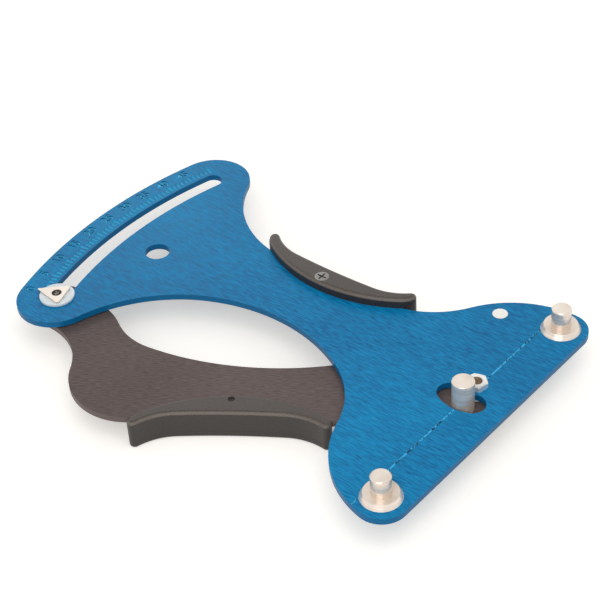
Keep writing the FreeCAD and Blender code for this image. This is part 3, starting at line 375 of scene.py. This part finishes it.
# Painted highlight on the rounded shoulders and painted shade on the walls.
painted_light_ramp = tree.nodes.new("ShaderNodeValToRGB")
stops = painted_light_ramp.color_ramp.elements
for slope in PAINTED_LIGHT_SLOPES[1:-1]:
    stops.new(slope)
for stop, slope, grey in zip(stops, PAINTED_LIGHT_SLOPES, PAINTED_LIGHT_GREYS):
    stop.position = slope
    stop.color = (grey, grey, grey, 1)
tree.links.new(z_part(tree, surface_normal(tree)), painted_light_ramp.inputs["Fac"])
clean_plastic = two_tones(tree, grain, GRIP_DEEP, GRIP_PALE, 0.3, 0.7)
lit_and_shaded_plastic = mixed(tree, 1.0, clean_plastic, painted_light_ramp.outputs["Color"], "MULTIPLY")
feed(tree, spread(tree, grain, 0.26, 0.48), shader.inputs["Roughness"])
shader.inputs["Specular IOR Level"].default_value = 0.5
print("wear stops", [round(stop.position, 2) for stop in stops])

# %% [markdown]
# The mould's halves meet in a faint line round each grip. A Compare operation is 1 near one
# height and 0 elsewhere, so the line can be darkened in the colour and raised in the bump.

# %% Parting line of the grips
PARTING_HEIGHT, PARTING_HALF_WIDTH, PARTING_DIRT = 3.4, 0.2, 0.45
GRAIN_BUMP, GRAIN_DEPTH = 0.5, 0.00022


def vector_maths(tree, operation, vector, other=None, answer="Vector"):
    """Vector Math node's output, from a vector and perhaps another input."""
    node = tree.nodes.new("ShaderNodeVectorMath")
    node.operation = operation
    feed(tree, vector, node.inputs[0])
    if other is not None:
        feed(tree, other, node.inputs["Scale" if operation == "SCALE" else 1])
    return node.outputs[answer]


parting = maths(
    tree, "COMPARE", z_part(tree, at), PARTING_HEIGHT * MM, PARTING_HALF_WIDTH * MM)
clean_share = maths(tree, "MULTIPLY_ADD", parting, -PARTING_DIRT, 1.0)
feed(tree, vector_maths(tree, "SCALE", lit_and_shaded_plastic, clean_share), shader.inputs["Base Color"])
bump(tree, shader, maths(tree, "ADD", grain, parting), GRAIN_BUMP, GRAIN_DEPTH)
print("parting line at, mm", PARTING_HEIGHT)

# %% [markdown]
# Posts, nut and pins are turned steel with nickel plating, which looks warm beside the blue.
# Turning leaves fine rings, so the noise is squeezed in Z only: it makes rings round a post
# and stays faint on the flat top. Zinc, black oxide, brass and satin share the method.

# %% Turned and plated metals
RING_SQUEEZE, RING_DEPTH = (40, 40, 4600), 0.00008


def turned_metal(name, dark, light, gloss_low, gloss_high, metal=1.0, rings=0.25):
    """Plated metal between two tones, with fine rings round its axis."""
    finish, tree, shader, at = start_finish(name, RING_SQUEEZE)
    marks = noise(tree, at, 1.0, 3.0, 0.6)
    feed(tree, two_tones(tree, marks, dark, light), shader.inputs["Base Color"])
    feed(tree, spread(tree, marks, gloss_low, gloss_high), shader.inputs["Roughness"])
    bump(tree, shader, marks, rings, RING_DEPTH)
    shader.inputs["Metallic"].default_value = metal
    return finish


nickel = turned_metal("nickel", (0.70, 0.58, 0.48), (0.98, 0.885, 0.79), 0.16, 0.28, 0.52)
worn_steel = turned_metal("worn_steel", (0.26, 0.25, 0.23), (0.40, 0.39, 0.36), 0.30, 0.46)
bright_nickel = turned_metal(
    "bright_nickel", (0.90, 0.87, 0.81), (0.98, 0.95, 0.90), 0.20, 0.32, 0.6)
steel = turned_metal("steel", (0.44, 0.435, 0.42), (0.58, 0.575, 0.56), 0.24, 0.40)
dark_steel = turned_metal(
    "dark_steel", (0.022, 0.022, 0.022), (0.040, 0.039, 0.038), 0.30, 0.5, 0.6)
satin_silver = turned_metal("satin_silver", (0.72, 0.65, 0.58), (0.80, 0.73, 0.66), 0.30, 0.44)
brass = turned_metal("brass", (0.60, 0.43, 0.20), (0.72, 0.54, 0.28), 0.22, 0.36)
print("metals", [metal.name for metal in (nickel, steel, dark_steel, satin_silver, brass)])

# %% [markdown]
# The pointer's screw sits in a deep hole. Its bright tip shows in the middle, with painted
# shade of the hole round it. So its finish is a disc and a ring: the distance from the screw's
# own axis drives a ramp from the bright tip to the painted shade.

# %% Screw with painted shade in its hole
# Bright tip, then painted shade of the hole beyond the given radius.
SCREW_TIP, HOLE_SHADE_TONE = (0.80, 0.74, 0.66), (0.030, 0.020, 0.015)
TIP_RADIUS, HOLE_SHADE_RADIUS = 0.85, 1.0

low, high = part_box("pointer_screw")
hole_shadow, tree, shader, at = start_finish("hole_shadow")
from_axis = vector_maths(tree, "SUBTRACT", at, (low + high) / 2)
level_mm = vector_maths(tree, "MULTIPLY", from_axis, (1 / MM, 1 / MM, 0))
radius_mm = vector_maths(tree, "LENGTH", level_mm, answer="Value")
hole_tone = two_tones(tree, radius_mm, SCREW_TIP, HOLE_SHADE_TONE, TIP_RADIUS, HOLE_SHADE_RADIUS)
feed(tree, hole_tone, shader.inputs["Base Color"])
feed(tree, spread(tree, noise(tree, at, 900), 0.25, 0.45), shader.inputs["Roughness"])
shader.inputs["Metallic"].default_value = 0.6
print("pointer screw's radius, mm", round((high.x - low.x) / 2 / MM, 2))

# %% [markdown]
# The slide washers are white nylon, which lets light in a little. Subsurface scattering gives
# that soft look, with a faint cloud so the white isn't flat.

# %% Nylon washers
HAZE_SCALE, SCATTER_DEPTH = 420, (0.001, 0.001, 0.001)

nylon, tree, shader, at = start_finish("nylon")
haze = noise(tree, at, HAZE_SCALE, 3.0)
nylon_tone = two_tones(tree, haze, (0.62, 0.68, 0.71), (0.72, 0.77, 0.79))
feed(tree, nylon_tone, shader.inputs["Base Color"])
feed(tree, spread(tree, haze, 0.26, 0.40), shader.inputs["Roughness"])
shader.inputs["Subsurface Weight"].default_value = 0.25
shader.inputs["Subsurface Radius"].default_value = SCATTER_DEPTH
shader.inputs["Subsurface Scale"].default_value = 1.0
print("nylon's noise scale", HAZE_SCALE)

# %% [markdown]
# The imported record says which finish each solid takes. Looking it up there keeps the dressed
# model and the record in step. Three small pieces then get a closer finish: the anchor is
# plated brighter than the posts, the grip's screw is worn, and the pointer's has the hole's
# painted shade.

# %% Finishes on the solids
finishes = {
    "blue_anodised": blue_anodised, "brown_anodised": brown_anodised,
    "grip_black": grip_black, "nickel": nickel, "steel": steel, "dark_steel": dark_steel,
    "satin_silver": satin_silver, "brass": brass, "nylon": nylon,
}
for part in frame["record"]["subparts"]:
    solid = nodes[part["node"]]
    solid.data.materials.clear()
    solid.data.materials.append(finishes[part["material_slot"]])
nodes["spring_anchor"].data.materials[0] = bright_nickel
nodes["body_grip_screw"].data.materials[0] = worn_steel
# The pointer's screw gets the hole's painted shade round its tip.
nodes["pointer_screw"].data.materials[0] = hole_shadow

# %% [markdown]
# Pieces are modelled with operators, which work on the selected and active objects. This
# helper makes one piece both, and nothing else.

# %% Helper that selects
MERGE = 1e-6


def only(piece):
    """Selects one object and makes it active."""
    bpy.ops.object.select_all(action="DESELECT")
    piece.select_set(True)
    bpy.context.view_layer.objects.active = piece


# %% [markdown]
# The return spring is one wire wound into a coil, with a straight lead to a pin at each end.
# Its middle line is worked out first: a loop of short steps round the straight line from the
# lever's pin to the anchor's pin.

# %% Middle line of the spring
POST_END = Vector((9.2, 10.9, -12.0))
ANCHOR_END = Vector((-20.7, 49.1, -12.0))
WIRE_RADIUS, COIL_RADIUS, COIL_LENGTH, TURNS = 0.5, 3.0, 29.75, 14
LEAD_START, LEAD_END, POINTS_A_TURN = 1.2, 4.8, 10

along = ANCHOR_END - POST_END
span = along.length
along.normalize()
across = Vector((0, 0, 1)).cross(along)
coil_start = (span - COIL_LENGTH) / 2
steps = TURNS * POINTS_A_TURN


def on_spring(distance, side=0.0, rise=0.0):
    """Point at a distance from the lever's pin along the spring's middle line."""
    spot = POST_END + along * distance + across * side + Vector((0, 0, rise))
    return place(*spot)


wire_points = [on_spring(LEAD_START), on_spring(LEAD_END)]
for step in range(steps + 1):
    angle = math.tau * step / POINTS_A_TURN
    distance = coil_start + COIL_LENGTH * step / steps
    wire_points.append(on_spring(
        distance, COIL_RADIUS * math.cos(angle), COIL_RADIUS * math.sin(angle)))
wire_points += [on_spring(span - LEAD_END), on_spring(span - LEAD_START)]
print("points on the spring's line", len(wire_points))

# %% [markdown]
# A NURBS path through those points gets a round bevel, which makes it a wire with capped ends.
# As a mesh, its caps are merged on, so it is closed.

# %% Return spring
CURVE_STEPS, BEVEL_STEPS, SMOOTH_BELOW = 3, 2, math.radians(50)

bpy.ops.object.select_all(action="DESELECT")
bpy.ops.curve.primitive_nurbs_path_add()
spring = bpy.context.object
spring.name = "coil_spring"
wire = spring.data.splines[0]
wire.points.add(len(wire_points) - len(wire.points))
for point, spot in zip(wire.points, wire_points):
    point.co = (*spot, 1)
wire.use_endpoint_u = True
wire.order_u = 4
wire.resolution_u = CURVE_STEPS
spring.data.bevel_depth = WIRE_RADIUS * MM
spring.data.bevel_resolution = BEVEL_STEPS
spring.data.use_fill_caps = True
bpy.ops.object.convert(target="MESH")
spring = bpy.context.object
bpy.ops.object.mode_set(mode="EDIT")
bpy.ops.mesh.select_all(action="SELECT")
bpy.ops.mesh.remove_doubles(threshold=MERGE)
bpy.ops.mesh.normals_make_consistent(inside=False)
bpy.ops.object.mode_set(mode="OBJECT")
bpy.ops.object.shade_smooth_by_angle(angle=SMOOTH_BELOW)
spring.data.materials.clear()
spring.data.materials.append(steel)
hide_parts("return_spring")
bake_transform(spring)
print("spring's faces", len(spring.data.polygons))

# %% [markdown]
# The marks of the dial, its figures and the line between the posts are cut into the plate, and
# the anodising in a cut isn't the plate's. Light and shade are painted into the cuts. A mark or
# figure gets a painted highlight on the side that faces the light, which a dot product of the
# surface's normal and that side finds, and painted shade elsewhere, with painted glints from a
# noise. The scribed line is painted in dark and bright stretches a few millimetres long, as
# painted shade and painted highlights of its groove.

# %% Anodising and painted light in the cuts
PAINTED_GLINT_SHARE, LIT_ABOVE, CUT_METAL = 0.35, 0.6, 0.3


def cut_gloss(tree, shader, painted_glints_and_gloss):
    """Gloss and metal look that all cuts share."""
    feed(tree, spread(tree, painted_glints_and_gloss, 0.28, 0.5), shader.inputs["Roughness"])
    shader.inputs["Metallic"].default_value = CUT_METAL


def cut_blue(name, bright, dark, side, low=0.0):
    """Anodising in a cut, with a painted highlight where the surface faces the light and painted
    shade elsewhere.
    """
    finish, tree, shader, at = start_finish(name, (420, 420, 420))
    facing_light = vector_maths(tree, "DOT_PRODUCT", surface_normal(tree), side, "Value")
    painted_glints_and_gloss = noise(tree, at, 1.0, 2.0, 0.5)
    lit = maths(tree, "MULTIPLY_ADD", painted_glints_and_gloss, PAINTED_GLINT_SHARE, facing_light)
    feed(tree, two_tones(tree, lit, dark, bright, low, LIT_ABOVE), shader.inputs["Base Color"])
    cut_gloss(tree, shader, painted_glints_and_gloss)
    return finish


def scribed(name, dark, bright, low, high):
    """Anodising in the scribed line, painted in dark and bright stretches as shade and highlights.
    """
    finish, tree, shader, at = start_finish(name, (700, 700, 700))
    painted_glints_and_gloss = noise(tree, at, 1.0, 2.0, 0.5)
    feed(tree, two_tones(tree, painted_glints_and_gloss, dark, bright, low, high), shader.inputs["Base Color"])
    cut_gloss(tree, shader, painted_glints_and_gloss)
    return finish


# Ticks and figures: painted highlight on the lit flank and painted shade on the rest.
tick_blue = cut_blue("tick_blue", (0.020, 0.420, 0.700), (0.001, 0.090, 0.230), (0, -0.8, 0))
figure_blue = cut_blue(
    "figure_blue", (0.015, 0.400, 0.680), (0.001, 0.020, 0.070), (0, -0.1, 0.6), 0.25)
scribed_blue = scribed(
    "scribed_blue", (0.001, 0.030, 0.090), (0.060, 0.500, 0.800), 0.43, 0.50)
print("cut finishes", tick_blue.name, figure_blue.name, scribed_blue.name)

# %% [markdown]
# The marks and the line are V-cut. The tool that cuts a V is a square bar that stands on its
# corner, made from a cylinder with four sides. One short bar, one long bar and one line bar
# are made, and then copied to each place round the arc.

# %% Bars that cut the marks
MARK_WIDTH, MARK_DEPTH = 1.05, 0.42
LINE_WIDTH, LINE_DEPTH = 0.85, 0.45
MARK_INNER, MARK_LENGTH, LONG_MARK_LENGTH = 224.15, 3.5, 4.9
START_ANGLE, ANGLE_A_UNIT, UNITS, LONG_EVERY = 18.3, 0.66, 50, 5
LINE_RIGHT, LINE_LOW, LINE_HIGH = 1.4, -96.2, 52.05


def v_bar(length, finish, width=MARK_WIDTH, depth=MARK_DEPTH):
    """Four-sided bar on its corner, along X, centred on the model's origin."""
    bpy.ops.object.select_all(action="DESELECT")
    bpy.ops.mesh.primitive_cylinder_add(
        vertices=4, radius=1, depth=1, location=(0, 0, 0), rotation=(math.pi / 2, 0, math.pi / 2),
        scale=(width / 2 * MM, depth * MM, length * MM))
    bar = bpy.context.object
    bpy.ops.object.transform_apply(location=True, rotation=True, scale=True)
    bar.data.materials.append(finish)
    return bar


def laid(bar, right, up, bearing):
    """Copy of a bar, turned to a bearing and laid on the plate's top face."""
    copy = bar.copy()
    copy.data = bar.data.copy()
    copy.data.transform(Matrix.Translation(place(right, up)) @ Matrix.Rotation(bearing, 4, "Z"))
    bpy.context.collection.objects.link(copy)
    return copy


short_bar = v_bar(MARK_LENGTH, tick_blue)
long_bar = v_bar(LONG_MARK_LENGTH, tick_blue)
line_bar = v_bar(LINE_HIGH - LINE_LOW, scribed_blue, LINE_WIDTH, LINE_DEPTH)
cutters = [laid(line_bar, LINE_RIGHT, (LINE_LOW + LINE_HIGH) / 2, math.pi / 2)]
for unit in range(UNITS + 1):
    bar, length = (short_bar, MARK_LENGTH) if unit % LONG_EVERY else (long_bar, LONG_MARK_LENGTH)
    bearing = math.radians(180 + START_ANGLE - ANGLE_A_UNIT * unit)
    radius = MARK_INNER + length / 2
    cutters.append(laid(bar, radius * math.cos(bearing), radius * math.sin(bearing), bearing))
for bar in (short_bar, long_bar, line_bar):
    bpy.data.objects.remove(bar)
print("bars", len(cutters))

# %% [markdown]
# The dial's figures, 0 to 45 in fives, are stamped outside the marks with their tops outwards.
# A text object is made for each. Its extrusion gives it a depth and its offset widens the
# strokes a little. It is made a mesh before its place is applied.

# %% Stamped figures on the dial
FIGURE_RADIUS, FIGURE_HEIGHT, FIGURE_DEPTH, STROKE_GAIN = 232.8, 4.8, 0.38, 0.1
CAPITAL_SHARE, FONT_STEPS = 0.7, 3


def stamp(text, radius, angle):
    """Solid figure that stands through the plate's top face."""
    bpy.ops.object.select_all(action="DESELECT")
    bpy.ops.object.text_add()
    figure = bpy.context.object
    figure.data.body = text
    figure.data.align_x = "CENTER"
    figure.data.align_y = "CENTER"
    figure.data.size = FIGURE_HEIGHT * MM / CAPITAL_SHARE
    figure.data.extrude = FIGURE_DEPTH * MM
    figure.data.offset = STROKE_GAIN * MM
    figure.data.resolution_u = FONT_STEPS
    bearing = math.radians(180 + angle)
    figure.location = place(radius * math.cos(bearing), radius * math.sin(bearing))
    figure.rotation_euler = (0, 0, bearing - math.pi / 2)
    bpy.ops.object.convert(target="MESH")
    figure = bpy.context.object
    bpy.ops.object.transform_apply(location=True, rotation=True, scale=True)
    figure.data.materials.clear()
    figure.data.materials.append(figure_blue)
    return figure


for value in range(0, UNITS, LONG_EVERY):
    cutters.append(stamp(str(value), FIGURE_RADIUS, START_ANGLE - ANGLE_A_UNIT * value))
print("bars and figures", len(cutters))

# %% [markdown]
# Cuts are made in copies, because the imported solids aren't changed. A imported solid's triangles
# are loose, so a copy's are merged first. The shading that it was loaded with is cleared, so
# that it doesn't smear over new edges.

# %% Helper that copies a solid


def copy_of_solid(node, name):
    """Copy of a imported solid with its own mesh, merged, with its loaded shading cleared."""
    piece = nodes[node].copy()
    piece.data = nodes[node].data.copy()
    piece.name = name
    piece.parent = None
    bpy.context.collection.objects.link(piece)
    only(piece)
    bpy.ops.mesh.customdata_custom_splitnormals_clear()
    bpy.ops.object.mode_set(mode="EDIT")
    bpy.ops.mesh.select_all(action="SELECT")
    bpy.ops.mesh.remove_doubles(threshold=MERGE)
    bpy.ops.object.mode_set(mode="OBJECT")
    return piece


# %% [markdown]
# A Boolean modifier takes one object away from another. With its materials transferred, the
# new faces get the cutter's finish. Slivers and loose bits that it leaves are then cleaned up.

# %% Helpers that join and cut
CUTTER_MERGE, CUT_MERGE, SLIVER = 1e-7, 2e-7, 1e-7


def joined(pieces):
    """One object from several, with its faces turned outwards."""
    only(pieces[0])
    for piece in pieces:
        piece.select_set(True)
    bpy.ops.object.join()
    bpy.ops.object.mode_set(mode="EDIT")
    bpy.ops.mesh.select_all(action="SELECT")
    bpy.ops.mesh.remove_doubles(threshold=CUTTER_MERGE)
    bpy.ops.mesh.normals_make_consistent(inside=False)
    bpy.ops.object.mode_set(mode="OBJECT")
    return bpy.context.object


def cut_away(piece, cutter):
    """Cuts one object out of another, and leaves the cutter's finish in the cut."""
    only(piece)
    cut = piece.modifiers.new("cut", "BOOLEAN")
    cut.operation = "DIFFERENCE"
    cut.solver = "EXACT"
    cut.material_mode = "TRANSFER"
    cut.use_self = True
    cut.object = cutter
    bpy.ops.object.modifier_apply(modifier="cut")
    bpy.data.objects.remove(cutter)
    bpy.ops.object.mode_set(mode="EDIT")
    bpy.ops.mesh.select_all(action="SELECT")
    bpy.ops.mesh.remove_doubles(threshold=CUT_MERGE)
    bpy.ops.mesh.dissolve_degenerate(threshold=SLIVER)
    bpy.ops.mesh.delete_loose()
    bpy.ops.object.mode_set(mode="OBJECT")
    piece.data.validate()


# %% [markdown]
# All the bars and figures are joined into one cutter, so one Boolean makes every mark. The
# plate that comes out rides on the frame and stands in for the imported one.

# %% The plate with its marks
PLATE_SMOOTH_BELOW = math.radians(20)

marked_plate = copy_of_solid("body_plate", "marked_plate")
before = len(marked_plate.data.polygons)
cut_away(marked_plate, joined(cutters))
bpy.ops.object.shade_smooth_by_angle(angle=PLATE_SMOOTH_BELOW)
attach(marked_plate, "frame")
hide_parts("body_plate")
print("plate's faces", before, "then", len(marked_plate.data.polygons),
      "finishes", [m.name for m in marked_plate.data.materials])

# %% [markdown]
# The pivot nut's bore opens in a countersink, where the tapped thread is coloured dark brown.
# A cone that is cut from a copy of the nut makes it, and leaves its own finish there.

# %% Countersunk nut
thread_brown = turned_metal(
    "thread_brown", (0.030, 0.020, 0.013), (0.30, 0.20, 0.12), 0.35, 0.6, 0.6, 0.3)
SINK_RADIUS, SINK_DEPTH, SINK_RISE, NUT_HEIGHT = 2.75, 0.85, 0.001, 2.8
SMALL_SMOOTH_BELOW = math.radians(25)

bpy.ops.object.select_all(action="DESELECT")
bpy.ops.mesh.primitive_cone_add(
    vertices=48, radius1=(SINK_RADIUS - 2 * SINK_DEPTH) * MM, radius2=SINK_RADIUS * MM,
    depth=2 * SINK_DEPTH * MM, location=place(0, 0, NUT_HEIGHT - SINK_DEPTH + SINK_RISE))
sink = bpy.context.object
bpy.ops.object.transform_apply(location=True, rotation=True, scale=True)
sink.data.materials.append(thread_brown)
sunk_nut = copy_of_solid("pivot_nut", "sunk_nut")
sunk_nut.data.materials[0] = bright_nickel
cut_away(sunk_nut, sink)
bpy.ops.object.shade_smooth_by_angle(angle=SMALL_SMOOTH_BELOW)
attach(sunk_nut, "frame")
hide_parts("pivot_nut")
print("nut's faces", len(sunk_nut.data.polygons))

# %% [markdown]
# The bolt ends inside the nut, and its sawn end is coloured dark brown as well. A short drum cuts
# a little off a copy of the bolt, and leaves the brown there.

# %% Bolt with its sawn end
BOLT_END, DRUM_RADIUS, DRUM_HEIGHT = 1.95, 2.4, 1.0

bpy.ops.object.select_all(action="DESELECT")
bpy.ops.mesh.primitive_cylinder_add(
    vertices=32, radius=DRUM_RADIUS * MM, depth=DRUM_HEIGHT * MM,
    location=place(0, 0, BOLT_END + DRUM_HEIGHT / 2))
drum = bpy.context.object
bpy.ops.object.transform_apply(location=True, rotation=True, scale=True)
drum.data.materials.append(thread_brown)
sawn_bolt = copy_of_solid("pivot_bolt", "sawn_bolt")
cut_away(sawn_bolt, drum)
bpy.ops.object.shade_smooth_by_angle(angle=SMALL_SMOOTH_BELOW)
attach(sawn_bolt, "frame")
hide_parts("pivot_bolt")
print("bolt's faces", len(sawn_bolt.data.polygons))
